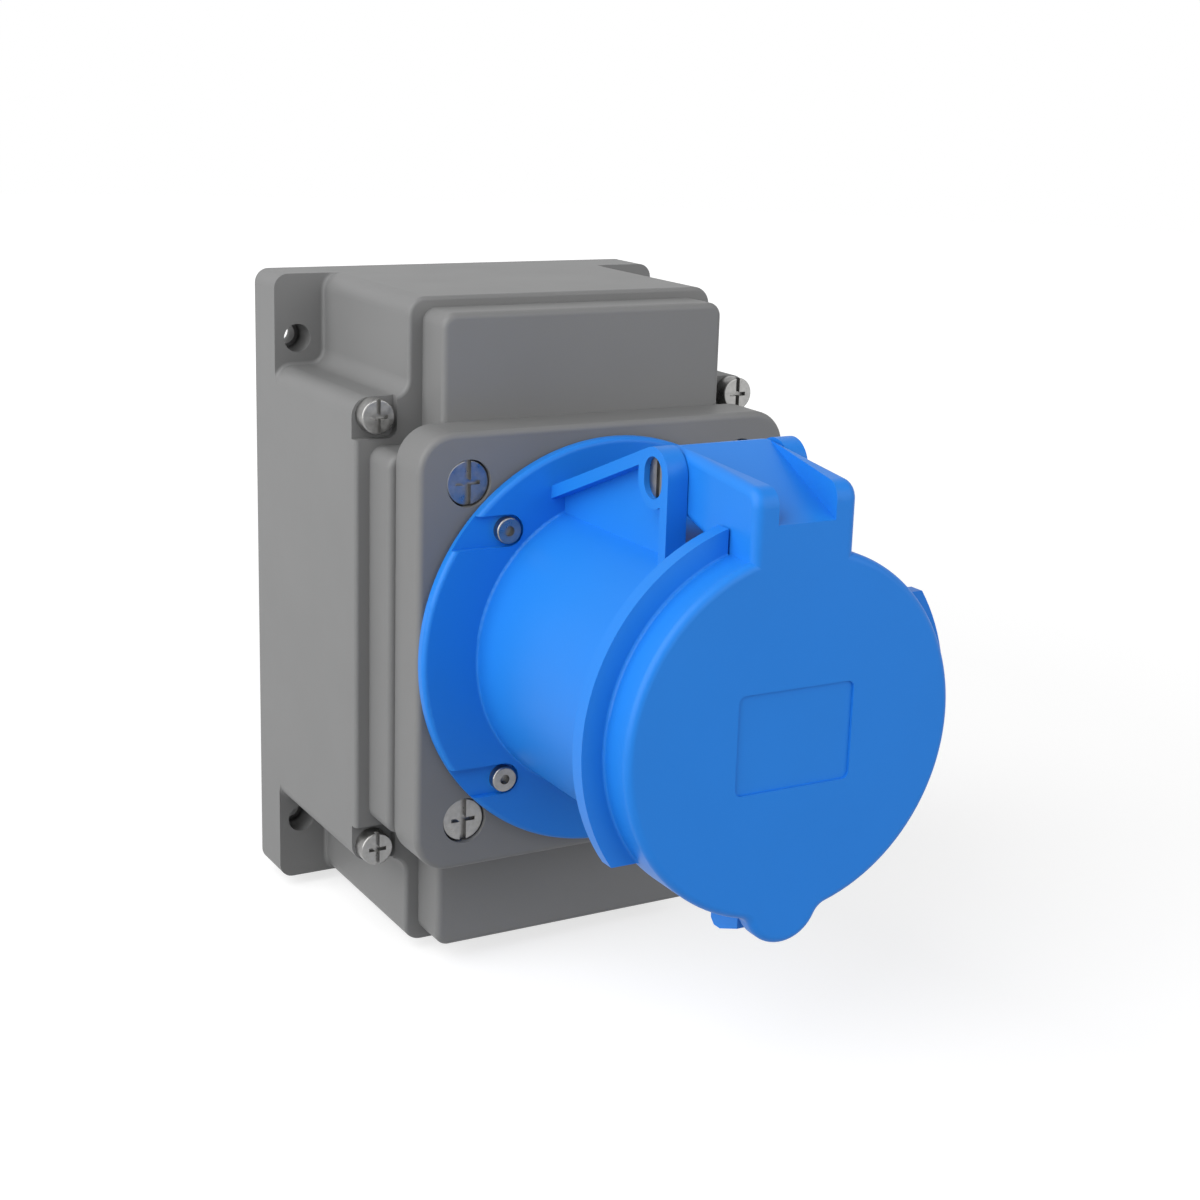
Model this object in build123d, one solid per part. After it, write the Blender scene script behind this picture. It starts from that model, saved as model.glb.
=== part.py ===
from build123d import *
import os
from math import asin, atan2, cos, hypot, radians, sin, sqrt

# Surface-mounting wall socket, 63 A, two poles and earth, with a hinged lid.
# The wall is the plane Y = 0, the front faces -Y and Z is up. The origin is the middle of
# the rear face. A depth is a distance in front of the wall, so depth 10 lies at Y = -10.
# All sizes are in millimetres.

# Back box: a tall narrow neck crossed by a wide waist, with an ear in each corner
box_width = 135.0
box_height = 200.0
ear_width = 16.5
ear_height = 28.5
seam_depth = 73.0
box_wall = 3.5
box_floor = 3.5
box_corner = 5.5
step_corner = 5.0
seal_land = 5.0
ear_thickness = 17.0
ear_corner = 4.5
ear_root = 1.2
wall_hole_side = 7.5
wall_hole_end = 20.0
wall_hole = 6.5
wall_hole_mouth = 8.8
wall_hole_seat = 6.0

# Cable entry in the bottom of the box, with its blanking plug
entry_depth = 38.0
entry_hole = 40.0
entry_boss_wall = 4.0
entry_boss_height = 9.0
entry_plug_head = 46.0
entry_plug_head_height = 3.2
entry_plug_slot = 3.0
entry_plug_slot_depth = 1.6
entry_plug_wall = 3.0
entry_seal_wire = 2.0

# Front cover: a flange flush with the box and a raised panel
rim_depth = 81.0
cover_depth = 95.0
cover_wall = 3.2
rim_ledge = 4.4
rim_ledge_end = 3.1
panel_step = 14.0
panel_corner = 4.2
cover_round = 1.8
rim_round = 1.2

# Cover screws in pockets at the corners of the waist
cover_screw_side = 6.2
cover_screw_end = 5.2
cover_screw_thread = 5.0
cover_screw_head = 10.2
cover_screw_head_height = 5.2
cover_screw_length = 14.0
cover_screw_slot = 1.3
cover_screw_cross = 5.6
pocket_depth = 2.8
pocket_reach = 6.8
pocket_corner = 3.0
insert_diameter = 7.0
insert_length = 11.0
screw_tail_room = 1.0
boss_wall = 2.6

# Box seal, a flat cord that follows the seam
seal_width = 2.8
seal_offset = 1.4
seal_thickness = 2.0

# Square plate that carries the socket
plate_width = 122.0
plate_height = 130.6
plate_depth = 110.4
plate_wall = 4.0
plate_corner = 11.0
plate_round = 1.8
plate_core_width = 110.0
plate_core_height = 100.0
plate_core_corner = 8.0
plate_collar_wall = 6.4
plate_screw_x = 45.4
plate_screw_z = 50.55
plate_screw_thread = 6.0
plate_screw_head = 13.2
plate_screw_head_height = 4.4
plate_screw_set = 1.0
plate_screw_tail = 1.0
plate_screw_slot = 2.0
plate_screw_cross = 7.6
plate_boss_wall = 2.6
nut_width = 10.0
nut_thickness = 5.0
nut_boss_wall = 3.0
nut_boss_height = 12.0

# Socket housing: flange, barrel and hinge ears in one moulding
socket_rise = 0.5
flange_radius = 61.6
flange_thickness = 5.2
flange_round = 1.5
flange_relief = 1.8
barrel_radius = 44.5
barrel_root = 0.8
barrel_depth = 203.7
lip_radius = 42.6
lip_length = 10.5
sleeve_radius = 37.0
chamber_radius = 37.4
web_front = 150.0
web_thickness = 6.0
spigot_radius = 40.9
spigot_depth = 98.0
keyway_width = 8.5
keyway_height = 2.8
flange_screw_x = 35.4
flange_screw_z = 37.25
flange_screw_head = 7.7
flange_screw_head_height = 2.6
flange_screw_socket = 3.0
flange_screw_socket_floor = 0.6
flange_screw_thread = 3.8
flange_screw_length = 12.0
flange_pocket_half = 4.7
flange_pocket_floor = 3.4
flange_boss_wall = 2.6
flange_boss_length = 9.0

# Hinge ears on top of the barrel and the pin through them
hinge_setback = 32.9
hinge_rise = 62.3
ear_inner = 15.8
ear_outer = 21.9
ear_web = 1.6
hinge_boss_width = 15.0
hinge_boss_height = 16.4
hinge_rib = 3.4
hinge_front_rib = 3.6
ear_start = 48.1
ear_foot = 37.0
pin_diameter = 8.0
pin_head_width = 8.6
pin_head_rise = 11.1
pin_head_height = 2.4
pin_head_sunk = 1.6
pin_slot = 1.6
pin_slot_depth = 1.2

# Lid: cap, two wings, opening tab, catch and hinge block in one moulding
lid_wall = 3.5
cap_radius = 50.1
cap_wall = 3.2
cap_length = 15.8
lid_round = 2.2
wing_radius = 56.7
wing_thickness = 4.7
wing_root = 0.8
wing_gap = 0.6
wing_drop = 31.7
tab_reach = 57.5
tab_radius = 11.4
tab_thickness = 5.5
tab_blend = 5.0
label_width = 35.6
label_height = 27.0
label_depth = 0.7
label_corner = 2.0
catch_half = 6.0
catch_reach = 60.6
catch_front_reach = 57.3
catch_inner = 49.0
catch_back_set = 26.0
catch_front_set = 13.0
catch_chamfer = 1.6
catch_foot = 4.6
catch_rib = 5.0
block_half = 15.5
knuckle_radius = 8.0
block_front_rise = 66.0
block_corner = 5.0
block_round = 2.6
gusset_wall = 3.4
recess_rear_half = 14.0
recess_front_half = 8.6
recess_foot_rise = 56.9
lid_web = 2.6

# Lid seal and torsion spring
lid_seal_outer = 46.4
lid_seal_inner = 37.6
lid_seal_thickness = 2.5
spring_wire = 1.2
spring_turns = 7.0
spring_pitch = 1.7

# Contact carrier, terminal block and contacts
carrier_radius = 30.5
carrier_set = 4.7
carrier_flange = 8.0
carrier_round = 1.0
carrier_screw_radius = 34.0
carrier_screw_thread = 3.0
carrier_screw_head = 5.4
carrier_screw_head_height = 2.2
carrier_screw_length = 12.0
block_radius = 36.4
terminal_block_back = 106.0
contact_ring_radius = 18.5
phase_pin = 8.0
earth_pin = 10.0
pilot_pin = 6.0
contact_tube_wall = 1.7
contact_slit = 0.8
contact_slit_back = 168.0
contact_set = 0.2
terminal_radius = 7.0
pilot_terminal_radius = 5.2
terminal_length = 22.0
terminal_set = 2.0
wire_hole = 6.4
pilot_wire_hole = 4.0
wire_hole_length = 16.0
clamp_screw_thread = 5.0
clamp_screw_length = 9.0
clamp_screw_from_back = 7.0
clamp_screw_slot = 1.0

# Clearances, screw details and how far a cutter runs past a face
thread_gap = 0.05
fit_gap = 0.1
slide_gap = 0.3
hole_gap = 0.5
screw_slot_depth = 1.6
cross_width = 1.2
screw_head_round = 0.5
through = 1.0

# Worked-out depths
neck_width = box_width - 2 * ear_width
waist_height = box_height - 2 * ear_height
panel_waist_height = waist_height - 2 * panel_step
cover_screw_x = box_width / 2 - cover_screw_side
cover_screw_z = waist_height / 2 - cover_screw_end
wall_hole_x = box_width / 2 - wall_hole_side
wall_hole_z = box_height / 2 - wall_hole_end
flange_depth = plate_depth + flange_thickness
hinge_depth = barrel_depth - hinge_setback
lid_depth = barrel_depth + slide_gap + lid_seal_thickness + lid_wall
cap_back = lid_depth - cap_length
catch_back = lid_depth - catch_back_set
catch_front = lid_depth - catch_front_set
carrier_depth = barrel_depth - carrier_set
contact_bore_back = web_front
hinge_boss = hinge_boss_width / 2
boss_rise = (hinge_boss_height - hinge_boss_width) / 2
pocket_floor_depth = rim_depth - pocket_depth
web_back = web_front - web_thickness
carrier_back = web_back - carrier_flange
plate_hole_radius = spigot_radius + hole_gap
cover_hole_radius = plate_hole_radius + hole_gap
lid_inner_depth = lid_depth - lid_wall
cap_inner_radius = cap_radius - cap_wall
pin_shank_radius = pin_diameter / 2
cover_screw_places = [(x, z) for x in (-cover_screw_x, cover_screw_x)
                      for z in (-cover_screw_z, cover_screw_z)]
plate_screw_places = [(x, z) for x in (-plate_screw_x, plate_screw_x)
                      for z in (-plate_screw_z, plate_screw_z)]
flange_screw_places = [(x, z) for x in (-flange_screw_x, flange_screw_x)
                       for z in (-flange_screw_z, flange_screw_z)]
wall_hole_places = [(x, z) for x in (-wall_hole_x, wall_hole_x)
                    for z in (-wall_hole_z, wall_hole_z)]


def polar(radius, degrees_round):
    """Point at an angle, counted from +X towards +Z."""
    angle = radians(degrees_round)
    return (radius * cos(angle), radius * sin(angle))


def prism(outline, back, front):
    """Solid of an X-Z outline between two depths."""
    return extrude(Plane.XZ.offset(back) * outline, front - back, dir=(0, -1, 0))


def disc(radius, back, front, place=(0.0, 0.0)):
    """Cylinder along the depth axis."""
    return prism(Pos(place[0], place[1]) * Circle(radius), back, front)


def across(outline, left, right):
    """Solid of a Y-Z outline between two X values."""
    return extrude(Plane.YZ.offset(left) * outline, right - left, dir=(1, 0, 0))


def front_edges(shape):
    """Edges of the foremost face."""
    return shape.edges().group_by(Axis.Y)[0]


def near(value, target):
    """True where two lengths agree."""
    return abs(value - target) < 0.001


def joined(shapes):
    """Separate solids kept together as one part."""
    return Compound([solid for shape in shapes for solid in shape.solids()])


def stepped(neck, height, width, waist, corner, hollow):
    """Outline of a tall narrow rectangle crossed by a low wide one, with rounded corners."""
    plan = Rectangle(neck, height) + Rectangle(width, waist)
    steps = [v for v in plan.vertices() if near(abs(v.X), neck / 2) and near(abs(v.Y), waist / 2)]
    plan = fillet(steps, hollow)
    corners = [v for v in plan.vertices()
               if (near(abs(v.X), neck / 2) and near(abs(v.Y), height / 2))
               or (near(abs(v.X), width / 2) and near(abs(v.Y), waist / 2))]
    return fillet(corners, corner)


def box_outline(inset=0.0):
    """Outer outline of the box, drawn in by an inset."""
    return stepped(neck_width - 2 * inset, box_height - 2 * inset,
                   box_width - 2 * inset, waist_height - 2 * inset,
                   max(box_corner - inset, 1.0), step_corner + inset)


def panel_outline(inset=0.0):
    """Outline of the cover's raised panel, drawn in by an inset."""
    return stepped(neck_width - 2 * (rim_ledge + inset), box_height - 2 * (rim_ledge_end + inset),
                   box_width - 2 * (rim_ledge + inset), panel_waist_height - 2 * inset,
                   max(panel_corner - inset, 1.0), step_corner + inset)


def seal_outline(grow):
    """Outline around the cover's opening, grown outwards along the seam."""
    return panel_outline(cover_wall - grow)


def screw_drive(radius, front, slot_width, cross_length):
    """Cutter for a slot with a short cross recess in a screw head."""
    slot = Rectangle(slot_width, 2 * (radius + through))
    cross = Rectangle(cross_length, cross_width)
    return prism(slot + cross, front - screw_slot_depth, front + through)


def ear_notches():
    """Cutters that leave an ear of the right thickness in each corner of the box."""
    reach = box_width
    region = Rectangle(2 * reach, 2 * reach) - box_outline()
    notch = prism(region, ear_thickness, rim_depth + through)
    inner_edges = [e for e in notch.edges().group_by(Axis.Y)[-1]
                   if max(abs(e.center().X), abs(e.center().Z)) < reach - through]
    return fillet(inner_edges, ear_root)


def wall_holes():
    """Fixing holes in the ears: a close rear hole that opens to a wider mouth."""
    cutters = []
    for place in wall_hole_places:
        cutters.append(disc(wall_hole / 2, -through, ear_thickness + through, place))
        cutters.append(disc(wall_hole_mouth / 2, wall_hole_seat, ear_thickness + through, place))
    return cutters


def back_box():
    """Open box with ears, seal land, screw bosses and the cable entry."""
    blank = prism(RectangleRounded(box_width, box_height, ear_corner), 0, ear_thickness + ear_root)
    box = blank - ear_notches()
    box += prism(box_outline(), ear_thickness, seam_depth)
    inside = prism(box_outline(box_wall), box_floor, seam_depth)
    box -= inside
    land = box_outline(box_wall / 2) - seal_outline(0.0)
    box += prism(land, seam_depth - seal_land, seam_depth)
    boss_radius = insert_diameter / 2 + boss_wall
    columns = [disc(boss_radius, box_floor, seam_depth, place) for place in cover_screw_places]
    box += [column & prism(box_outline(), 0, seam_depth) for column in columns]
    box += entry_boss()
    box -= [disc(insert_diameter / 2 + fit_gap, seam_depth - insert_length - screw_tail(),
                 seam_depth, place) for place in cover_screw_places]
    box -= wall_holes()
    box -= entry_bore()
    return box


def screw_tail():
    """Room for a cover screw's end past its insert."""
    below_seam = cover_screw_length - (pocket_floor_depth - seam_depth)
    return max(below_seam - insert_length, 0.0) + screw_tail_room


def entry_bore():
    """Cutter for the cable entry, through the bottom wall and the ring inside it."""
    bore = Cylinder(entry_hole / 2 + fit_gap, entry_boss_height + 2 * through)
    return Pos(0, -entry_depth, (entry_boss_height - box_height) / 2) * bore


def entry_boss():
    """Thickened ring inside the bottom wall around the cable entry, before its bore is cut."""
    ring = Cylinder(entry_hole / 2 + entry_boss_wall, entry_boss_height,
                    align=(Align.CENTER, Align.CENTER, Align.MIN))
    return Pos(0, -entry_depth, -box_height / 2) * ring


def entry_plug():
    """Blanking plug: a hollow threaded shank under a round slotted head."""
    top = (Align.CENTER, Align.CENTER, Align.MAX)
    bottom = (Align.CENTER, Align.CENTER, Align.MIN)
    head = Cylinder(entry_plug_head / 2, entry_plug_head_height, align=top)
    head = chamfer(head.edges().group_by(Axis.Z)[0], entry_plug_head_height / 3)
    shank = Cylinder(entry_hole / 2, entry_boss_height, align=bottom)
    shank -= Cylinder(entry_hole / 2 - entry_plug_wall, entry_boss_height, align=bottom)
    slot = Box(entry_plug_head + through, entry_plug_slot, entry_plug_slot_depth, align=bottom)
    plug = head + shank - Pos(0, 0, -entry_plug_head_height) * slot
    plug -= Pos(0, 0, -entry_seal_wire / 2) * entry_seal_groove()
    return Pos(0, -entry_depth, -box_height / 2) * plug


def entry_seal_groove():
    """Groove for the ring under the blanking plug's head."""
    return Cylinder(entry_hole / 2 + entry_seal_wire + fit_gap, entry_seal_wire) \
        - Cylinder(entry_hole / 2, entry_seal_wire)


def entry_seal():
    """Rubber ring in the blanking plug's groove."""
    ring = Cylinder(entry_hole / 2 + entry_seal_wire, entry_seal_wire) \
        - Cylinder(entry_hole / 2 + fit_gap, entry_seal_wire)
    return Pos(0, -entry_depth, -box_height / 2 - entry_seal_wire / 2) * ring


def box_seal():
    """Flat cord seal in the groove of the cover's flange."""
    ring = seal_outline(seal_offset + seal_width) - seal_outline(seal_offset)
    return prism(ring, seam_depth, seam_depth + seal_thickness)


def box_inserts():
    """Threaded brass bushes in the box's bosses."""
    bushes = []
    for place in cover_screw_places:
        bush = disc(insert_diameter / 2, seam_depth - insert_length, seam_depth - fit_gap, place)
        bore = disc(cover_screw_thread / 2, 0, seam_depth, place)
        bushes.append(bush - bore)
    return joined(bushes)


def slotted_screw(place, seat, head, shank, drive):
    """Cylinder-head screw on a seat; head, shank and drive each give two of its sizes."""
    radius, height = head
    thread, length = shank
    top = fillet(front_edges(disc(radius, seat, seat + height, place)), screw_head_round)
    top -= Pos(place[0], 0, place[1]) * screw_drive(radius, seat + height, *drive)
    return top + disc(thread / 2 - thread_gap, seat - length, seat, place)


def cover_screws():
    """Four screws that hold the cover on the box."""
    head = (cover_screw_head / 2, cover_screw_head_height)
    shank = (cover_screw_thread, cover_screw_length)
    drive = (cover_screw_slot, cover_screw_cross)
    return joined([slotted_screw(place, pocket_floor_depth, head, shank, drive)
                   for place in cover_screw_places])


def cover_pockets():
    """Cutters for the pockets round the cover screws, open at the corners of the waist."""
    size = 2 * (pocket_reach + pocket_corner) + cover_screw_side + cover_screw_end
    cutters = []
    for x, z in cover_screw_places:
        side = 1 if x > 0 else -1
        level = 1 if z > 0 else -1
        plan = RectangleRounded(size, size, pocket_corner)
        centre = (x + side * (size / 2 - pocket_reach), z + level * (size / 2 - pocket_reach))
        cutters.append(prism(Pos(*centre) * plan, pocket_floor_depth, rim_depth + through))
    return cutters


def front_cover():
    """Cover with its flange, raised panel, nut bosses and the opening behind the socket."""
    flange = prism(box_outline(), seam_depth, rim_depth)
    flange = fillet(front_edges(flange), rim_round)
    flange -= cover_pockets()
    panel = fillet(front_edges(prism(panel_outline(), rim_depth, cover_depth)), cover_round)
    cover = flange + panel
    cover -= prism(panel_outline(cover_wall), seam_depth, cover_depth - cover_wall)
    back = cover_depth - cover_wall - nut_boss_height
    boss_radius = nut_width / sqrt(3) + nut_boss_wall
    bosses = [disc(boss_radius, back, cover_depth - cover_wall, place)
              for place in lifted(plate_screw_places)]
    cover += bosses
    cover -= [disc(plate_screw_thread / 2 + hole_gap / 2, back - through, cover_depth + through, place)
              for place in lifted(plate_screw_places)]
    cover -= [prism(nut_plan(place, slide_gap / 2), back - through, back + nut_thickness)
              for place in lifted(plate_screw_places)]
    cover -= [disc(cover_screw_thread / 2 + hole_gap / 2, 0, cover_depth, place)
              for place in cover_screw_places]
    groove = seal_outline(seal_offset + seal_width + fit_gap) - seal_outline(seal_offset - fit_gap)
    cover -= prism(groove, seam_depth, seam_depth + seal_thickness)
    cover -= disc(cover_hole_radius, seam_depth, cover_depth + through, (0, socket_rise))
    return cover


def lifted(places):
    """Places around the socket's axis, which lies a little above the middle of the box."""
    return [(x, z + socket_rise) for x, z in places]


def nut_plan(place, grow):
    """Hexagon across flats nut_width, with a clearance all round."""
    return Pos(*place) * RegularPolygon(nut_width / 2 + grow, 6, major_radius=False)


def plate_nuts():
    """Hexagon nuts in the bosses behind the cover's front."""
    back = cover_depth - cover_wall - nut_boss_height
    nuts = []
    for place in plate_screw_places:
        nut = prism(nut_plan(place, 0.0), back, back + nut_thickness)
        nuts.append(nut - disc(plate_screw_thread / 2, 0, cover_depth, place))
    return joined(nuts)


def socket_plate():
    """Square plate with a cored back, a collar round the socket and bosses for its screws."""
    plate = prism(RectangleRounded(plate_width, plate_height, plate_corner),
                  cover_depth, plate_depth)
    plate = fillet(front_edges(plate), plate_round)
    core = RectangleRounded(plate_core_width, plate_core_height, plate_core_corner)
    core -= Circle(plate_hole_radius + plate_collar_wall)
    core -= [Pos(*place) * Circle(plate_screw_head / 2 + plate_boss_wall)
             for place in plate_screw_places]
    plate -= prism(core, cover_depth, plate_depth - plate_wall)
    boss_radius = flange_screw_thread / 2 + flange_boss_wall
    boss_back = plate_depth - plate_wall - flange_boss_length
    plate += [disc(boss_radius, boss_back, plate_depth - plate_wall, place)
              for place in flange_screw_places]
    plate -= disc(plate_hole_radius, cover_depth - through, plate_depth + through)
    head_seat = plate_depth - plate_screw_set - plate_screw_head_height
    plate -= [disc(plate_screw_head / 2 + slide_gap, head_seat, plate_depth + through, place)
              for place in plate_screw_places]
    plate -= [disc(plate_screw_thread / 2 + hole_gap / 2, cover_depth - through, plate_depth, place)
              for place in plate_screw_places]
    screw_end = plate_depth + flange_pocket_floor - flange_screw_length
    plate -= [disc(flange_screw_thread / 2, screw_end - hole_gap, plate_depth + through, place)
              for place in flange_screw_places]
    plate -= seal_ring(cover_depth, seal_thickness, fit_gap)
    plate -= seal_ring(plate_depth - seal_thickness, seal_thickness, fit_gap)
    return plate


def seal_ring(back, thickness, grow=0.0):
    """Flat ring round the socket's hole, used for a seal and, grown, for its groove."""
    inner = cover_hole_radius + seal_offset
    ring = Circle(inner + seal_width + grow) - Circle(inner - grow)
    return prism(ring, back, back + thickness)


def plate_seal():
    """Seal between the square plate and the cover."""
    return seal_ring(cover_depth, seal_thickness)


def flange_seal():
    """Seal between the socket's flange and the square plate."""
    return seal_ring(plate_depth - seal_thickness, seal_thickness)


def plate_screws():
    """Four large screws, their heads flush in the square plate."""
    seat = plate_depth - plate_screw_set - plate_screw_head_height
    nut_back = cover_depth - cover_wall - nut_boss_height
    head = (plate_screw_head / 2, plate_screw_head_height)
    shank = (plate_screw_thread, seat - nut_back + plate_screw_tail)
    drive = (plate_screw_slot, plate_screw_cross)
    return joined([slotted_screw(place, seat, head, shank, drive)
                   for place in plate_screw_places])


def flange_screws():
    """Four small socket-head screws that fix the flange to the square plate."""
    seat = plate_depth + flange_pocket_floor
    screws = []
    for place in flange_screw_places:
        head = disc(flange_screw_head / 2, seat, seat + flange_screw_head_height, place)
        head = fillet(front_edges(head), screw_head_round)
        head -= disc(flange_screw_socket / 2, seat + flange_screw_socket_floor,
                     seat + flange_screw_head_height + through, place)
        shank = disc(flange_screw_thread / 2 - thread_gap, seat - flange_screw_length, seat, place)
        screws.append(head + shank)
    return joined(screws)


def tangent_point(point, centre, radius, side):
    """Point where the line from a point touches a circle, on the chosen side."""
    dy = centre[0] - point[0]
    dz = centre[1] - point[1]
    distance = hypot(dy, dz)
    angle = atan2(dz, dy) + side * asin(radius / distance)
    length = sqrt(distance ** 2 - radius ** 2)
    return (point[0] + length * cos(angle), point[1] + length * sin(angle))


def ear_profile():
    """Side outline of a hinge ear and of the pocket in its outer face."""
    centre = (-hinge_depth, hinge_rise)
    upper = (-hinge_depth, hinge_rise + boss_rise)
    root = (-plate_depth - flange_thickness / 2, ear_start)
    touch = tangent_point(root, upper, hinge_boss, -1)
    front = centre[0] - hinge_boss
    body = Polygon(root, touch, upper, (front, upper[1]), (front, ear_foot), (root[0], ear_foot),
                   align=None)
    body += ear_boss()
    slope = atan2(touch[1] - root[1], touch[0] - root[0])
    shift = (-hinge_rib * sin(slope), hinge_rib * cos(slope))
    inner_front = front + hinge_front_rib
    low_root = (root[0] + shift[0], root[1] + shift[1])
    low_touch = (touch[0] + shift[0], touch[1] + shift[1])
    pocket = Polygon(low_root, low_touch, centre, (inner_front, centre[1]), (inner_front, ear_foot),
                     (root[0], ear_foot), align=None)
    return body, pocket - ear_boss()


def ear_boss():
    """Oval outline of the boss round the hinge pin."""
    oval = SlotOverall(hinge_boss_height, hinge_boss_width, rotation=90)
    return Pos(-hinge_depth, hinge_rise) * oval


def pin_head(grow):
    """Oval outline of the pin's head, grown by a clearance for its seat in the ear."""
    return SlotOverall(pin_head_rise + 2 * grow, pin_head_width + 2 * grow, rotation=90)


def hinge_ear(side):
    """One hinge ear: a ribbed plate with an oval boss for the pin."""
    body, pocket = ear_profile()
    ear = across(body, ear_inner, ear_outer)
    ear -= across(pocket, ear_inner + ear_web, ear_outer + through)
    hinge = Pos(-hinge_depth, hinge_rise)
    shoulder = ear_outer - pin_head_sunk - pin_head_height
    ear -= across(hinge * Circle(pin_shank_radius + fit_gap), 0, ear_outer + through)
    ear -= across(hinge * pin_head(fit_gap), shoulder, ear_outer + through)
    return ear if side > 0 else mirror(ear, Plane.YZ)


def flange_pockets():
    """Cutters for the flange screws' pockets, open sideways at the rim."""
    cutters = []
    for x, z in flange_screw_places:
        side = 1 if x > 0 else -1
        length = flange_radius
        plan = Pos(x, z) * Circle(flange_pocket_half)
        plan += Pos(x + side * length / 2, z) * Rectangle(length, 2 * flange_pocket_half)
        cutters.append(prism(plan, plate_depth + flange_pocket_floor, flange_depth + through))
    return cutters


def socket_housing():
    """Flange, barrel, hinge ears and rear spigot, moulded as one."""
    flange = fillet(front_edges(disc(flange_radius, plate_depth, flange_depth)), flange_round)
    flange = chamfer(flange.edges().group_by(Axis.Y)[-1], flange_relief)
    barrel = disc(barrel_radius, plate_depth, barrel_depth - lip_length)
    housing = flange + barrel
    root = [e for e in housing.edges().filter_by(GeomType.CIRCLE)
            if near(e.radius, barrel_radius) and near(e.center().Y, -flange_depth)]
    housing = fillet(root, barrel_root)
    housing += disc(lip_radius, plate_depth, barrel_depth)
    housing += disc(spigot_radius, spigot_depth, plate_depth)
    housing += [hinge_ear(1), hinge_ear(-1)]
    housing -= flange_pockets()
    housing -= disc(sleeve_radius, web_front, barrel_depth + through)
    housing -= disc(chamber_radius, spigot_depth - through, web_back)
    housing -= disc(carrier_radius + slide_gap, web_back - through, web_front + through)
    keyway = Pos(0, -sleeve_radius) * Rectangle(keyway_width, 2 * keyway_height)
    housing -= prism(keyway, web_front, barrel_depth + through)
    housing -= [disc(flange_screw_thread / 2 + hole_gap / 2, plate_depth - through, flange_depth, place)
                for place in flange_screw_places]
    housing -= [disc(carrier_screw_thread / 2, web_back - through, carrier_screw_end() + hole_gap, place)
                for place in carrier_screw_places()]
    return housing


def carrier_screw_end():
    """Depth that a carrier screw's tip reaches in the housing's web."""
    return carrier_back + carrier_screw_length


def carrier_screw_places():
    """Three screws spaced between the contacts."""
    return [polar(carrier_screw_radius, angle) for angle in (90, 210, 330)]


def hinge_pin():
    """Pin across both ears, with a slotted head at each end."""
    sunk = ear_outer - pin_head_sunk
    shoulder = sunk - pin_head_height
    pin = across(Circle(pin_shank_radius), -shoulder, shoulder)
    slot = Rectangle(pin_slot, pin_head_rise + through)
    for side in (-1, 1):
        low, high = sorted((side * shoulder, side * sunk))
        pin += across(pin_head(0.0), low, high)
        low, high = sorted((side * (sunk - pin_slot_depth), side * (sunk + through)))
        pin -= across(slot, low, high)
    return Pos(0, -hinge_depth, hinge_rise) * pin


def lid_plate():
    """Front plate of the lid: the round cap's face blended into the opening tab."""
    outline = Circle(cap_radius) + Pos(0, tab_radius - tab_reach) * Circle(tab_radius)
    plate = prism(outline, lid_depth - tab_thickness, lid_depth)
    corners = [e for e in plate.edges().filter_by(Axis.Y)
               if 1 < abs(e.center().X) < tab_radius + 1 and e.center().Z < 0]
    plate = fillet(corners, tab_blend)
    return fillet(front_edges(plate), lid_round)


def lid_wing(turn):
    """Finger wing at the cap's rear edge, from beside the hinge round to a level cut."""
    ring = Circle(wing_radius) - Circle(cap_radius - cap_wall / 2)
    left = -block_half - wing_gap
    window = Pos((left - wing_radius) / 2, (wing_radius - wing_drop) / 2) \
        * Rectangle(wing_radius + left, wing_radius + wing_drop)
    return Rot(0, turn, 0) * prism(ring & window, cap_back, cap_back + wing_thickness)


def block_profile():
    """Side outline of the hinge block, from the knuckle to the lid's front."""
    centre = (-hinge_depth, hinge_rise)
    corner = (-lid_depth, block_front_rise)
    heel = (-cap_back, cap_inner_radius)
    top = tangent_point(corner, centre, knuckle_radius, 1)
    under = tangent_point(heel, centre, knuckle_radius, -1)
    floor = cap_inner_radius - cap_wall
    block = Polygon(corner, (-lid_depth, floor), (-cap_back, floor), heel, under, centre, top,
                    align=None)
    return block + Pos(*centre) * Circle(knuckle_radius)


def web_height(depth, below=0.0):
    """Rise of the sloping web's top at a depth, or of a line some way below it."""
    slope = (knuckle_radius + hinge_rise - recess_foot_rise) / (lid_depth - hinge_depth)
    return recess_foot_rise + slope * (lid_depth - depth) - below * sqrt(1 + slope ** 2)


def gusset_recess():
    """Cutter above the web, wide at the knuckle and narrow at the lid's face."""
    top = hinge_rise + 2 * knuckle_radius
    past = lid_depth + through
    above = Polygon((-hinge_depth, web_height(hinge_depth)), (-past, web_height(past)),
                    (-past, top), (-hinge_depth, top), align=None)
    plan = Polygon((-recess_rear_half, -hinge_depth), (recess_rear_half, -hinge_depth),
                   (recess_front_half, -past), (-recess_front_half, -past), align=None)
    return across(above, -block_half, block_half) & extrude(plan, 2 * hinge_rise, dir=(0, 0, 1))


def block_hollow():
    """Cutter for the space under the web, with room for the spring round the pin."""
    inner = block_half - gusset_wall
    behind = hinge_depth - 2 * knuckle_radius
    deep = lid_depth - lid_wall
    under_web = Polygon((-hinge_depth, web_height(hinge_depth, lid_web)),
                        (-deep, web_height(deep, lid_web)), (-deep, cap_inner_radius),
                        (-behind, cap_inner_radius), (-behind, hinge_rise), (-hinge_depth, hinge_rise),
                        align=None)
    spring_room = spring_mean_radius() + spring_wire / 2 + slide_gap
    tunnel = Pos(-hinge_depth, hinge_rise) * Circle(spring_room)
    return across(under_web, -inner, inner) + across(tunnel, -inner, inner)


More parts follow.
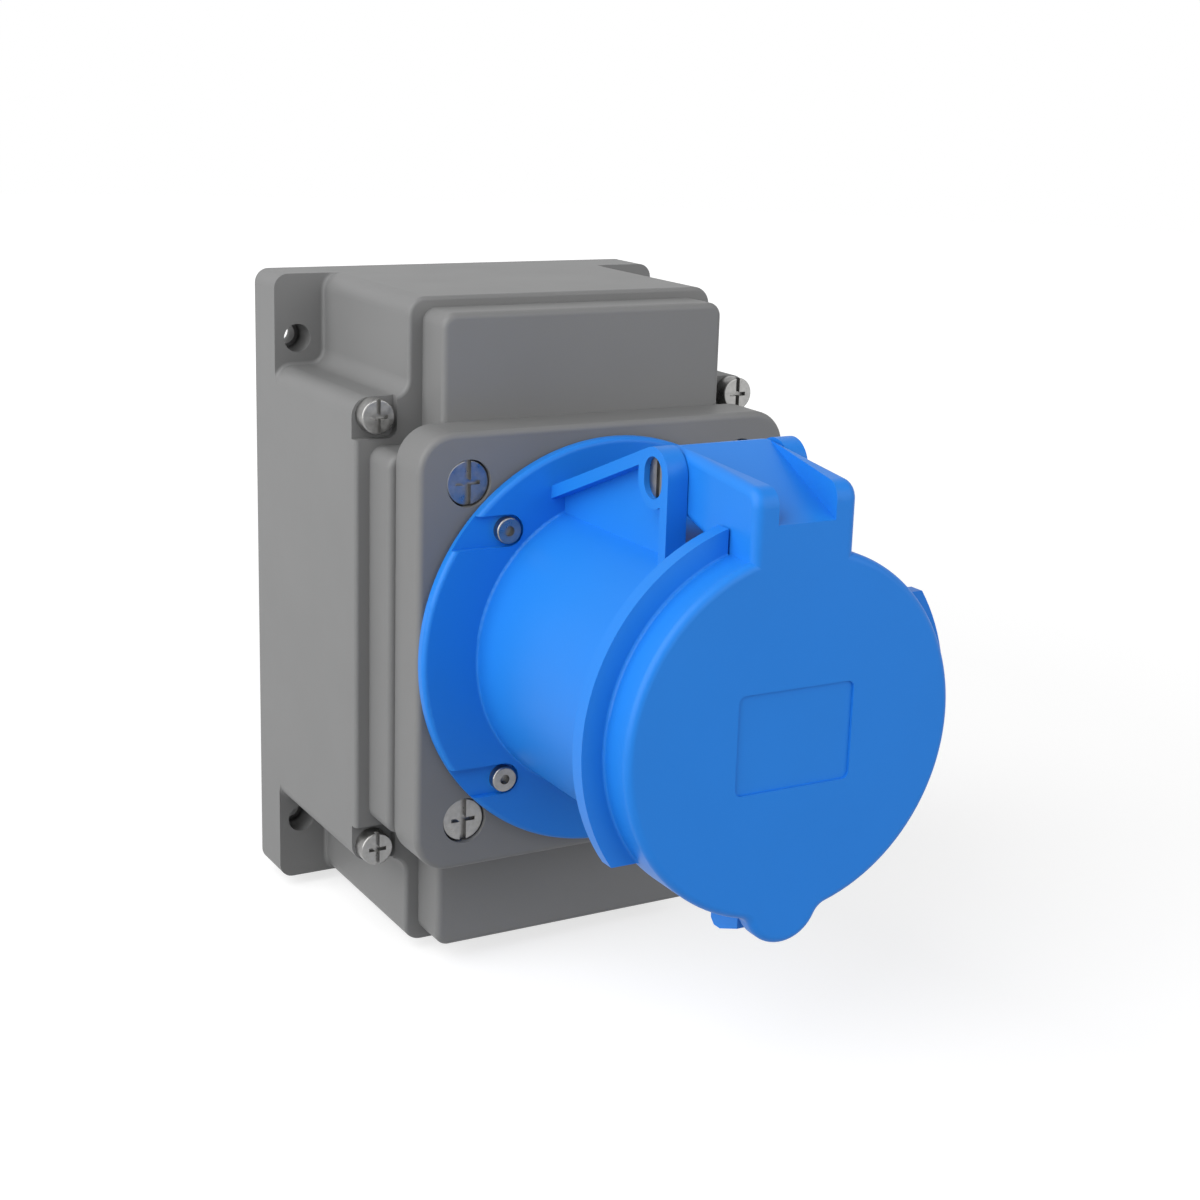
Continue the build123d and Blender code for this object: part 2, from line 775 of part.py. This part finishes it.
def hinge_block():
    """Block between the ears: two gussets, a sloping web and two knuckles."""
    block = across(block_profile(), -block_half, block_half)
    top_front = [e for e in block.edges().filter_by(Axis.X)
                 if near(e.center().Y, -lid_depth) and near(e.center().Z, block_front_rise)]
    block = fillet(top_front, block_corner)
    sides = [e for e in block.edges()
             if near(abs(e.center().X), block_half) and e.center().Z > hinge_rise
             and e.center().Y < -hinge_depth - through or is_front_side(e)]
    block = fillet(sides, block_round)
    block -= gusset_recess()
    block -= block_hollow()
    bore = Pos(-hinge_depth, hinge_rise) * Circle(pin_shank_radius + slide_gap)
    return block - across(bore, -ear_outer, ear_outer)


def is_front_side(edge):
    """True for the block's upright edges in the plane of the lid's face."""
    middle = edge.center()
    return near(abs(middle.X), block_half) and near(middle.Y, -lid_depth)


def lid_catch():
    """Catch behind the tab, hooked under the cap's edge."""
    side = Polygon((-catch_back, -catch_inner), (-catch_front, -catch_inner),
                   (-catch_front, -catch_front_reach), (-catch_back - catch_foot, -catch_reach),
                   (-catch_back - catch_chamfer, -catch_reach),
                   (-catch_back, -catch_reach + catch_chamfer), align=None)
    catch = across(side, -catch_half, catch_half)
    rib_side = Polygon((-catch_front + through, -catch_inner), (-lid_depth + through, -catch_inner),
                       (-lid_depth + through, -tab_reach + lid_round),
                       (-catch_front + through, -catch_front_reach + lid_round), align=None)
    return catch + across(rib_side, -catch_rib / 2, catch_rib / 2)


def lid():
    """Lid with cap, tab, wings, catch and hinge block, moulded as one."""
    cover = lid_plate() + disc(cap_radius, cap_back, lid_depth - tab_thickness)
    wings = lid_wing(0) + lid_wing(180)
    cover += wings
    root = [e for e in cover.edges().filter_by(GeomType.CIRCLE)
            if near(e.radius, cap_radius) and near(e.center().Y, -cap_back - wing_thickness)]
    cover = fillet(root, wing_root)
    cover += hinge_block()
    cover += lid_catch()
    cover -= disc(cap_inner_radius, cap_back - through, lid_inner_depth)
    label = RectangleRounded(label_width, label_height, label_corner)
    cover -= prism(label, lid_depth - label_depth, lid_depth + through)
    return cover


def lid_seal():
    """Soft ring inside the lid that closes on the barrel's mouth."""
    ring = Circle(lid_seal_outer) - Circle(lid_seal_inner)
    return prism(ring, lid_inner_depth - lid_seal_thickness, lid_inner_depth)


def spring_mean_radius():
    """Mean radius of the torsion spring, clear of the pin."""
    return pin_shank_radius + hole_gap + spring_wire / 2


def lid_spring():
    """Coils of the torsion spring round the hinge pin."""
    length = spring_turns * spring_pitch
    coil = Helix(pitch=spring_pitch, height=length, radius=spring_mean_radius())
    section = Plane(coil @ 0, z_dir=coil % 0) * Circle(spring_wire / 2)
    wire = Rot(0, 90, 0) * Pos(0, 0, -length / 2) * sweep(section, path=coil)
    return Pos(0, -hinge_depth, hinge_rise) * wire


def contacts():
    """Pin size, angle and terminal radius of each contact."""
    return {
        "live_contact": (phase_pin, 150, contact_ring_radius, terminal_radius, wire_hole),
        "neutral_contact": (phase_pin, 30, contact_ring_radius, terminal_radius, wire_hole),
        "earth_contact": (earth_pin, 270, contact_ring_radius, terminal_radius, wire_hole),
        "pilot_contact": (pilot_pin, 90, 0.0, pilot_terminal_radius, pilot_wire_hole),
    }


def contact_carrier():
    """Insulating post with a flange behind the housing's web and a hole for each contact."""
    post = disc(carrier_radius, carrier_back, carrier_depth)
    post = fillet(front_edges(post), carrier_round)
    post += disc(chamber_radius - slide_gap, carrier_back, web_back)
    for pin, angle, circle, _, _ in contacts().values():
        place = polar(circle, angle)
        tube = pin / 2 + contact_tube_wall + fit_gap
        post -= disc(tube, carrier_back - through, carrier_depth + through, place)
    screw_hole = (carrier_screw_thread + hole_gap) / 2
    post -= [disc(screw_hole, carrier_back - through, web_back + through, place)
             for place in carrier_screw_places()]
    return post


def carrier_screws():
    """Three screws through the carrier's flange into the housing's web."""
    screws = []
    for place in carrier_screw_places():
        head = disc(carrier_screw_head / 2, carrier_back - carrier_screw_head_height,
                    carrier_back, place)
        slot = Pos(*place) * Rectangle(carrier_screw_head + through, clamp_screw_slot)
        head -= prism(slot, carrier_back - carrier_screw_head_height - through,
                      carrier_back - carrier_screw_head_height / 2)
        shank = disc(carrier_screw_thread / 2 - thread_gap, carrier_back, carrier_screw_end(),
                     place)
        screws.append(head + shank)
    return joined(screws)


def terminal_block():
    """Rear insulator with a chamber for each terminal and access holes for the clamp screws."""
    block = disc(block_radius, terminal_block_back, carrier_back)
    for pin, angle, circle, radius, _ in contacts().values():
        place = polar(circle, angle)
        stem = pin / 2 + contact_tube_wall + fit_gap
        block -= disc(stem, terminal_block_back - through, carrier_back + through, place)
        block -= disc(radius + slide_gap, terminal_block_back - through, terminal_front(), place)
        access = clamp_cylinder(angle, circle, clamp_screw_thread / 2 + hole_gap,
                                circle, block_radius + through)
        block -= access
    relief = carrier_screw_head / 2 + hole_gap
    block -= [disc(relief, carrier_back - carrier_screw_head_height - hole_gap,
                   carrier_back + through, place) for place in carrier_screw_places()]
    return block


def terminal_front():
    """Depth of the shoulder between a terminal and its stem."""
    return terminal_block_back + terminal_set + terminal_length


def clamp_cylinder(angle, circle, radius, start, end):
    """Cylinder along the radial line of a terminal's clamp screw."""
    depth = terminal_block_back + terminal_set + clamp_screw_from_back
    bar = Cylinder(radius, end - start, align=(Align.CENTER, Align.CENTER, Align.MIN))
    return Pos(0, -depth, 0) * Rot(0, 90 - angle, 0) * Pos(0, 0, start) * bar


def contact(name):
    """Turned contact: slit tube in front, stem and terminal behind."""
    pin, angle, circle, radius, hole = contacts()[name]
    place = polar(circle, angle)
    outer = pin / 2 + contact_tube_wall
    front = carrier_depth - contact_set
    back = terminal_block_back + terminal_set
    body = disc(outer, terminal_front(), front, place) + disc(radius, back, terminal_front(), place)
    body -= disc(pin / 2, contact_bore_back, front + through, place)
    slit = Rectangle(4 * outer, contact_slit) + Rectangle(contact_slit, 4 * outer)
    body -= prism(Pos(*place) * slit, contact_slit_back, front + through)
    body -= disc(hole / 2, back - through, back + wire_hole_length, place)
    body -= clamp_cylinder(angle, circle, clamp_screw_thread / 2, circle, circle + 3 * radius)
    return body


def terminal_screws():
    """Clamp screws of the four terminals."""
    screws = []
    for _, angle, circle, radius, hole in contacts().values():
        start = circle + hole / 4
        screw = clamp_cylinder(angle, circle, clamp_screw_thread / 2 - thread_gap, start,
                               start + clamp_screw_length)
        depth = terminal_block_back + terminal_set + clamp_screw_from_back
        slot = Pos(0, 0, start + clamp_screw_length) \
            * Box(2 * clamp_screw_thread, clamp_screw_slot, 2 * clamp_screw_slot)
        screws.append(screw - Pos(0, -depth, 0) * Rot(0, 90 - angle, 0) * slot)
    return joined(screws)


def write_parts():
    """Writes one STEP file for each piece."""
    os.makedirs("parts", exist_ok=True)
    on_box = {
        "back_box": back_box(),
        "box_seal": box_seal(),
        "box_inserts": box_inserts(),
        "entry_plug": entry_plug(),
        "entry_seal": entry_seal(),
        "front_cover": front_cover(),
        "cover_screws": cover_screws(),
    }
    on_axis = {
        "socket_plate": socket_plate(),
        "plate_seal": plate_seal(),
        "plate_screws": plate_screws(),
        "plate_nuts": plate_nuts(),
        "socket_housing": socket_housing(),
        "flange_seal": flange_seal(),
        "flange_screws": flange_screws(),
        "contact_carrier": contact_carrier(),
        "carrier_screws": carrier_screws(),
        "terminal_block": terminal_block(),
        "terminal_screws": terminal_screws(),
        "hinge_pin": hinge_pin(),
        "lid": lid(),
        "lid_seal": lid_seal(),
        "lid_spring": lid_spring(),
    }
    for name in contacts():
        on_axis[name] = contact(name)
    lift = Pos(0, 0, socket_rise)
    pieces = dict(on_box)
    pieces.update({name: lift * piece for name, piece in on_axis.items()})
    for name, piece in pieces.items():
        export_step(piece, "parts/" + name + ".step")


write_parts()
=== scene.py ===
"""Finish, floor, light and camera of an industrial wall socket with a hinged lid.

Lengths are metres in the socket's own frame: the wall is the plane Y = 0, the front faces -Y
and Z is up.
"""

from math import atan, hypot, pi, radians

import bpy
import numpy as np
from bpy.props import FloatProperty, FloatVectorProperty, PointerProperty
from mathutils import Matrix, Vector


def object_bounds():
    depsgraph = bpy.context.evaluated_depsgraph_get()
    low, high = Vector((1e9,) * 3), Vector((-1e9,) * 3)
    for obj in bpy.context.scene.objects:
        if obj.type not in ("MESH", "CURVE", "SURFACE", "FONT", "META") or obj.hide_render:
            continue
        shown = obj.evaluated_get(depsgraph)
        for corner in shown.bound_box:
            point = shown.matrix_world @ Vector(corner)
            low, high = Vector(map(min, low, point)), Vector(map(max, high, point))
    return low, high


bl_info = {
    "name": "Industrial Wall Socket",
    "version": (1, 0, 0),
    "blender": (4, 5, 0),
    "location": "View3D > Sidebar > Wall Socket",
    "description": "Finishes a surface-mounting wall socket and sets it on a pale stage",
    "category": "Object",
}

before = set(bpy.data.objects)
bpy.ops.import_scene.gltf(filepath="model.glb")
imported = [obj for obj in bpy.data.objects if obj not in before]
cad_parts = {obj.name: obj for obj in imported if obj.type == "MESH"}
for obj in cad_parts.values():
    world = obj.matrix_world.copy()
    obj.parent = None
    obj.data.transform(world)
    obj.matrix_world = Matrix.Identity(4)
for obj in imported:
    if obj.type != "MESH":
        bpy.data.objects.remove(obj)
cad_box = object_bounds()

GREY_NODES = ("back_box", "front_cover", "socket_plate", "entry_plug")
BLUE_NODES = ("socket_housing", "lid")
ZINC_NODES = ("cover_screws", "plate_screws", "flange_screws", "carrier_screws",
              "terminal_screws", "plate_nuts", "hinge_pin", "lid_spring")
SEAL_NODES = ("box_seal", "plate_seal", "flange_seal", "lid_seal", "entry_seal")
INSULATOR_NODES = ("contact_carrier", "terminal_block")
BRASS_NODES = ("live_contact", "neutral_contact", "earth_contact", "pilot_contact", "box_inserts")

# Noise mostly keeps to this range.
NOISE_LOW = 0.3
NOISE_HIGH = 0.7

# How far a moulding's roughness swings either way, and the height of the other grains.
SATIN_SWING = 0.015
METAL_RELIEF = 0.000012
RUBBER_RELIEF = 0.00002

# A colour Mix node's own places among its sockets.
MIX_FACTOR = 0
MIX_DARK = 6
MIX_LIGHT = 7
MIX_RESULT = 2

# The point that the lamps face, and the directions from it in which they stand.
LAMP_TARGET = (0.0, -0.10, 0.0)
KEY_DIRECTION = (-0.83, -0.12, 0.54)
FILL_DIRECTION = (0.42, -0.86, 0.30)

# The floor's glow rises from its near to its far strength between these distances.
FLOOR_SIDES = 96
GLOW_START = 0.35
GLOW_END = 1.3
GLOW_NEAR = 0.70
GLOW_FAR = 0.98

SENSOR_WIDTH = 36


class SocketFinish(bpy.types.PropertyGroup):
    """Colours and surface of the socket's materials"""

    grey: FloatVectorProperty(
        name="Box grey", description="Colour of the box, cover and square plate",
        default=(0.171, 0.172, 0.172), subtype="COLOR", min=0, max=1)
    blue: FloatVectorProperty(
        name="Socket blue", description="Colour of the barrel, flange and lid",
        default=(0.0130, 0.197, 0.680), subtype="COLOR", min=0, max=1)
    rubber: FloatVectorProperty(
        name="Seal black", description="Colour of the rubber seals",
        default=(0.022, 0.022, 0.024), subtype="COLOR", min=0, max=1)
    insulator: FloatVectorProperty(
        name="Insulator", description="Colour of the contact carrier and terminal block",
        default=(0.045, 0.045, 0.05), subtype="COLOR", min=0, max=1)
    zinc: FloatVectorProperty(
        name="Zinc plate", description="Colour of the plated screws and the pin",
        default=(0.262, 0.260, 0.255), subtype="COLOR", min=0, max=1)
    brass: FloatVectorProperty(
        name="Brass", description="Colour of the contacts and threaded bushes",
        default=(0.72, 0.52, 0.24), subtype="COLOR", min=0, max=1)
    grain: FloatProperty(
        name="Grain", description="Size of the moulded surface's fine grain",
        default=0.0009, unit="LENGTH", min=0.0001, max=0.01)
    grain_depth: FloatProperty(
        name="Grain depth", description="Height of the moulded surface's fine grain",
        default=0.000012, unit="LENGTH", min=0, max=0.001, precision=6)


class SocketView(bpy.types.PropertyGroup):
    """Camera that sees the socket from its upper left"""

    place: FloatVectorProperty(
        name="Place", description="Where the camera stands",
        default=(-0.2927, -0.6156, 0.1708), subtype="XYZ", unit="LENGTH")
    heading: FloatProperty(
        name="Heading", description="Turn of the view to the right of the wall's normal",
        default=radians(29.93), subtype="ANGLE", unit="ROTATION")
    dip: FloatProperty(
        name="Dip", description="Angle by which the camera looks down",
        default=radians(15.19), subtype="ANGLE", unit="ROTATION")
    tilt: FloatProperty(
        name="Tilt", description="Turn of the camera about its own line of sight",
        default=radians(1.83), subtype="ANGLE", unit="ROTATION")
    lens: FloatProperty(
        name="Lens", description="Focal length on a sensor 36 mm wide",
        default=61.19, subtype="DISTANCE_CAMERA", unit="CAMERA", min=10, max=300)


class SocketStage(bpy.types.PropertyGroup):
    """Floor and light"""

    floor_size: FloatProperty(
        name="Floor size", description="Width of the round floor",
        default=6.0, unit="LENGTH", min=1, max=30)
    floor_gap: FloatProperty(
        name="Floor gap", description="Clearance between the socket's lowest point and the floor",
        default=0.0005, unit="LENGTH", min=0, max=0.1)
    floor_white: FloatProperty(
        name="Floor white", description="Reflectance of the pale floor",
        default=0.40, subtype="FACTOR", min=0, max=1)
    key: FloatProperty(
        name="Key light", description="Light level from the upper left; 1 shows a colour as it is",
        default=1.10, min=0, max=5)
    fill: FloatProperty(
        name="Fill light", description="Light level from the right front",
        default=0.45, min=0, max=5)
    sky: FloatProperty(
        name="Sky light", description="Even light from all round",
        default=0.19, min=0, max=2)


def settings(name):
    """One of the groups of sizes and colours kept with the scene."""
    return getattr(bpy.context.scene, name)


def new_material(name):
    """Empty node material with a Principled shader, its tree and the shader node."""
    material = bpy.data.materials.new(name)
    material.use_nodes = True
    tree = material.node_tree
    return material, tree, tree.nodes["Principled BSDF"]


def add(tree, kind, **values):
    """New node whose named attributes or input sockets are set to the values."""
    made = tree.nodes.new("ShaderNode" + kind)
    for key, value in values.items():
        if hasattr(made, key):
            setattr(made, key, value)
        else:
            made.inputs[key.replace("_", " ")].default_value = value
    return made


def noise(tree, size, detail, squeeze=(1.0, 1.0, 1.0)):
    """Noise in object space: blobs of about the size, squeezed along each axis by its factor."""
    place = add(tree, "TexCoord")
    scaled = add(tree, "Mapping", vector_type="POINT", Scale=squeeze)
    tree.links.new(place.outputs["Object"], scaled.inputs["Vector"])
    blobs = add(tree, "TexNoise", Scale=1 / size, Detail=detail)
    tree.links.new(scaled.outputs["Vector"], blobs.inputs["Vector"])
    return blobs.outputs["Fac"]


def carried(tree, value, start, end, low, high):
    """The value's range from start to end carried to a range from low to high."""
    ramp = add(tree, "MapRange", From_Min=start, From_Max=end, To_Min=low, To_Max=high)
    tree.links.new(value, ramp.inputs["Value"])
    return ramp.outputs["Result"]


def between(tree, factor, low, high):
    """The noise's usual range carried to a range from low to high."""
    return carried(tree, factor, NOISE_LOW, NOISE_HIGH, low, high)


def shade(tree, factor, colour, spread):
    """The colour made a little darker and lighter by the factor."""
    mix = add(tree, "Mix", data_type="RGBA")
    darker = [c * (1 - spread) for c in colour]
    lighter = [min(c * (1 + spread), 1.0) for c in colour]
    mix.inputs[MIX_DARK].default_value = (*darker, 1)
    mix.inputs[MIX_LIGHT].default_value = (*lighter, 1)
    tree.links.new(factor, mix.inputs[MIX_FACTOR])
    return mix.outputs[MIX_RESULT]


def bump(tree, shader, height, depth):
    """Relief of the given depth on the shader."""
    relief = add(tree, "Bump", Strength=1.0, Distance=depth)
    tree.links.new(height, relief.inputs["Height"])
    tree.links.new(relief.outputs["Normal"], shader.inputs["Normal"])


def moulded(name, colour, roughness, spread, sheen):
    """Moulded plastic: an even colour with faint flow clouds under a fine satin grain.

    The sheen is the strength of its reflections.
    """
    finish = settings("socket_finish")
    material, tree, shader = new_material(name)
    shader.inputs["Specular IOR Level"].default_value = sheen
    clouds = between(tree, noise(tree, size=0.035, detail=3.0), low=0.0, high=1.0)
    tree.links.new(shade(tree, clouds, colour, spread), shader.inputs["Base Color"])
    satin = between(tree, noise(tree, size=0.02, detail=3.0),
                    low=roughness - SATIN_SWING, high=roughness + SATIN_SWING)
    tree.links.new(satin, shader.inputs["Roughness"])
    bump(tree, shader, noise(tree, finish.grain, detail=3.0), finish.grain_depth)
    return material


def plated(name, colour, roughness, grain, squeeze=(1.0, 1.0, 1.0)):
    """Metal with small dull patches and a fine grain, which can be squeezed to turning marks."""
    material, tree, shader = new_material(name)
    shader.inputs["Metallic"].default_value = 1.0
    patches = between(tree, noise(tree, size=0.0016, detail=4.0), low=0.0, high=1.0)
    tree.links.new(shade(tree, patches, colour, spread=0.10), shader.inputs["Base Color"])
    dull = between(tree, noise(tree, size=0.0024, detail=5.0),
                   low=roughness - 0.08, high=roughness + 0.12)
    tree.links.new(dull, shader.inputs["Roughness"])
    bump(tree, shader, noise(tree, grain, detail=2.0, squeeze=squeeze), METAL_RELIEF)
    return material


def rubbery(name, colour):
    """Soft black rubber with a dusty sheen."""
    material, tree, shader = new_material(name)
    dust = between(tree, noise(tree, size=0.004, detail=5.0), low=0.0, high=1.0)
    tree.links.new(shade(tree, dust, colour, spread=0.35), shader.inputs["Base Color"])
    rough = between(tree, noise(tree, size=0.0015, detail=3.0), low=0.62, high=0.78)
    tree.links.new(rough, shader.inputs["Roughness"])
    bump(tree, shader, noise(tree, size=0.0006, detail=3.0), RUBBER_RELIEF)
    return material


def paint(piece, material):
    """Puts one material on a whole piece."""
    piece.data.materials.clear()
    piece.data.materials.append(material)
    piece.data.polygons.foreach_set("material_index", [0] * len(piece.data.polygons))


def paint_nodes(names, material):
    """Puts one material on several nodes of the frame."""
    for name in names:
        paint(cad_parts[name], material)


class WALLSOCKET_OT_grey(bpy.types.Operator):
    """Finish the grey box, cover, square plate and blanking plug"""

    bl_idname = "wall_socket.grey"
    bl_label = "Grey Mouldings"

    def execute(self, context):
        finish = settings("socket_finish")
        grey = moulded("grey_moulding", finish.grey, roughness=0.5, spread=0.02, sheen=0.35)
        paint_nodes(GREY_NODES, grey)
        return {"FINISHED"}


class WALLSOCKET_OT_blue(bpy.types.Operator):
    """Finish the blue socket housing and lid"""

    bl_idname = "wall_socket.blue"
    bl_label = "Blue Mouldings"

    def execute(self, context):
        finish = settings("socket_finish")
        blue = moulded("blue_moulding", finish.blue, roughness=0.42, spread=0.015, sheen=0.24)
        paint_nodes(BLUE_NODES, blue)
        return {"FINISHED"}


class WALLSOCKET_OT_screws(bpy.types.Operator):
    """Finish the plated screws and nuts, the hinge pin and the lid's spring"""

    bl_idname = "wall_socket.screws"
    bl_label = "Screws and Pin"

    def execute(self, context):
        finish = settings("socket_finish")
        zinc = plated("zinc_plate", finish.zinc, roughness=0.34, grain=0.0006)
        paint_nodes(ZINC_NODES, zinc)
        return {"FINISHED"}


class WALLSOCKET_OT_inside(bpy.types.Operator):
    """Finish the seals, insulators and contacts"""

    bl_idname = "wall_socket.inside"
    bl_label = "Seals, Insulators and Contacts"

    def execute(self, context):
        finish = settings("socket_finish")
        paint_nodes(SEAL_NODES, rubbery("seal_rubber", finish.rubber))
        thermoset = moulded("insulator", finish.insulator, roughness=0.5, spread=0.12, sheen=0.35)
        paint_nodes(INSULATOR_NODES, thermoset)
        brass = plated("turned_brass", finish.brass, roughness=0.28, grain=0.0005,
                       squeeze=(1.0, 6.0, 1.0))
        paint_nodes(BRASS_NODES, brass)
        return {"FINISHED"}


def place_lamp(name, level, direction, distance, size):
    """Square lamp that gives a face turned to it the light level.

    The share of the face's view that the lamp fills is 4 reach atan(reach) / pi, where reach is
    the half size over the distance from the face to the middle of the lamp's edge.
    """
    towards = Vector(direction).normalized()
    light = bpy.data.lights.new(name, "AREA")
    reach = size / 2 / hypot(size / 2, distance)
    view_share = 4 * reach * atan(reach) / pi
    light.energy = level * pi * size ** 2 / view_share
    light.size = size
    lamp = bpy.data.objects.new(name, light)
    bpy.context.scene.collection.objects.link(lamp)
    turn = towards.to_track_quat("Z", "Y").to_matrix().to_4x4()
    lamp.matrix_world = Matrix.Translation(Vector(LAMP_TARGET) + distance * towards) @ turn


def pale_floor(width, clearance, reflectance):
    """Round floor just under the socket, white to the camera where no shadow falls on it."""
    rim = np.linspace(0, 2 * pi, FLOOR_SIDES, endpoint=False)
    level = min(corner[2] for corner in cad_box) - clearance
    points = np.stack([width / 2 * np.cos(rim), width / 2 * np.sin(rim),
                       np.full(rim.size, level)], axis=1)
    mesh = bpy.data.meshes.new("floor")
    mesh.from_pydata(points.tolist(), [], [tuple(range(rim.size))])
    floor = bpy.data.objects.new("floor", mesh)
    bpy.context.scene.collection.objects.link(floor)
    material, tree, shader = new_material("pale_floor")
    shader.inputs["Base Color"].default_value = (reflectance, reflectance, reflectance, 1)
    shader.inputs["Roughness"].default_value = 0.9
    shader.inputs["Specular IOR Level"].default_value = 0.0
    glow = add(tree, "Emission", Color=(1, 1, 1, 1))
    tree.links.new(away_from_socket(tree), glow.inputs["Strength"])
    unseen = add(tree, "Emission", Color=(1, 1, 1, 1), Strength=0.0)
    choice = add(tree, "MixShader")
    tree.links.new(looked_at(tree), choice.inputs[0])
    tree.links.new(unseen.outputs[0], choice.inputs[1])
    tree.links.new(glow.outputs[0], choice.inputs[2])
    both = add(tree, "AddShader")
    tree.links.new(shader.outputs[0], both.inputs[0])
    tree.links.new(choice.outputs[0], both.inputs[1])
    tree.links.new(both.outputs[0], tree.nodes["Material Output"].inputs["Surface"])
    mesh.materials.append(material)
    return floor


def away_from_socket(tree):
    """Glow that rises with the distance from the socket, where the lamps' light gives out."""
    place = add(tree, "TexCoord")
    distance = add(tree, "VectorMath", operation="LENGTH")
    tree.links.new(place.outputs["Object"], distance.inputs[0])
    return carried(tree, distance.outputs["Value"], GLOW_START, GLOW_END, GLOW_NEAR, GLOW_FAR)


def looked_at(tree):
    """1 for a ray from the camera, a reflection or a transmission, and 0 for light itself."""
    path = add(tree, "LightPath")
    seen_or_mirrored = add(tree, "Math", operation="MAXIMUM")
    any_of_them = add(tree, "Math", operation="MAXIMUM")
    tree.links.new(path.outputs["Is Camera Ray"], seen_or_mirrored.inputs[0])
    tree.links.new(path.outputs["Is Glossy Ray"], seen_or_mirrored.inputs[1])
    tree.links.new(seen_or_mirrored.outputs[0], any_of_them.inputs[0])
    tree.links.new(path.outputs["Is Transmission Ray"], any_of_them.inputs[1])
    return any_of_them.outputs[0]


def white_backdrop(level):
    """Even light from all round, and white where the camera or a reflection looks past it all."""
    world = bpy.data.worlds.new("studio")
    bpy.context.scene.world = world
    world.use_nodes = True
    tree = world.node_tree
    ambient = tree.nodes["Background"]
    ambient.inputs["Strength"].default_value = level
    ambient.inputs["Color"].default_value = (1, 1, 1, 1)
    white = add(tree, "Background", Color=(1, 1, 1, 1), Strength=1.0)
    mix = add(tree, "MixShader")
    tree.links.new(looked_at(tree), mix.inputs[0])
    tree.links.new(ambient.outputs[0], mix.inputs[1])
    tree.links.new(white.outputs[0], mix.inputs[2])
    tree.links.new(mix.outputs[0], tree.nodes["World Output"].inputs["Surface"])


def set_camera(view):
    """Camera at its place, turned by heading, dip and tilt, in that order from the outside in."""
    camera = bpy.data.objects.new("camera", bpy.data.cameras.new("camera"))
    bpy.context.scene.collection.objects.link(camera)
    camera.data.lens = view.lens
    camera.data.sensor_width = SENSOR_WIDTH
    turn = Matrix.Rotation(-view.heading, 4, "Z") @ Matrix.Rotation(pi / 2 - view.dip, 4, "X")
    turn = turn @ Matrix.Rotation(view.tilt, 4, "Z")
    camera.matrix_world = Matrix.Translation(view.place) @ turn
    bpy.context.scene.camera = camera


class WALLSOCKET_OT_stage(bpy.types.Operator):
    """Set the floor, the lamps, the white surroundings and the camera"""

    bl_idname = "wall_socket.stage"
    bl_label = "Stage"

    def execute(self, context):
        stage = settings("socket_stage")
        pale_floor(stage.floor_size, stage.floor_gap, stage.floor_white)
        place_lamp("key_lamp", stage.key, KEY_DIRECTION, distance=1.6, size=2.2)
        place_lamp("fill_lamp", stage.fill, FILL_DIRECTION, distance=2.4, size=2.6)
        white_backdrop(stage.sky)
        set_camera(settings("socket_view"))
        context.scene.view_settings.view_transform = "Standard"
        return {"FINISHED"}


class WALLSOCKET_PT_panel(bpy.types.Panel):
    """Steps and sizes of the wall socket"""

    bl_idname = "WALLSOCKET_PT_panel"
    bl_label = "Wall Socket"
    bl_space_type = "VIEW_3D"
    bl_region_type = "UI"
    bl_category = "Wall Socket"

    def draw(self, context):
        for operator in OPERATORS:
            self.layout.operator(operator.bl_idname)
        for name, group in GROUPS.items():
            box = self.layout.box()
            box.label(text=group.__doc__)
            for key in group.__annotations__:
                box.prop(settings(name), key)


GROUPS = {
    "socket_finish": SocketFinish,
    "socket_view": SocketView,
    "socket_stage": SocketStage,
}
OPERATORS = (
    WALLSOCKET_OT_grey,
    WALLSOCKET_OT_blue,
    WALLSOCKET_OT_screws,
    WALLSOCKET_OT_inside,
    WALLSOCKET_OT_stage,
)


def register():
    """Adds the groups, operators and panel to Blender."""
    for group in GROUPS.values():
        bpy.utils.register_class(group)
    for name, group in GROUPS.items():
        setattr(bpy.types.Scene, name, PointerProperty(type=group))
    for operator in OPERATORS:
        bpy.utils.register_class(operator)
    bpy.utils.register_class(WALLSOCKET_PT_panel)


def unregister():
    """Takes them out again."""
    bpy.utils.unregister_class(WALLSOCKET_PT_panel)
    for operator in reversed(OPERATORS):
        bpy.utils.unregister_class(operator)
    for name, group in reversed(GROUPS.items()):
        delattr(bpy.types.Scene, name)
        bpy.utils.unregister_class(group)


def main():
    """Registers the add-on and runs its steps in order."""
    register()
    bpy.ops.wall_socket.grey()
    bpy.ops.wall_socket.blue()
    bpy.ops.wall_socket.screws()
    bpy.ops.wall_socket.inside()
    bpy.ops.wall_socket.stage()


if __name__ == "__main__":
    main()
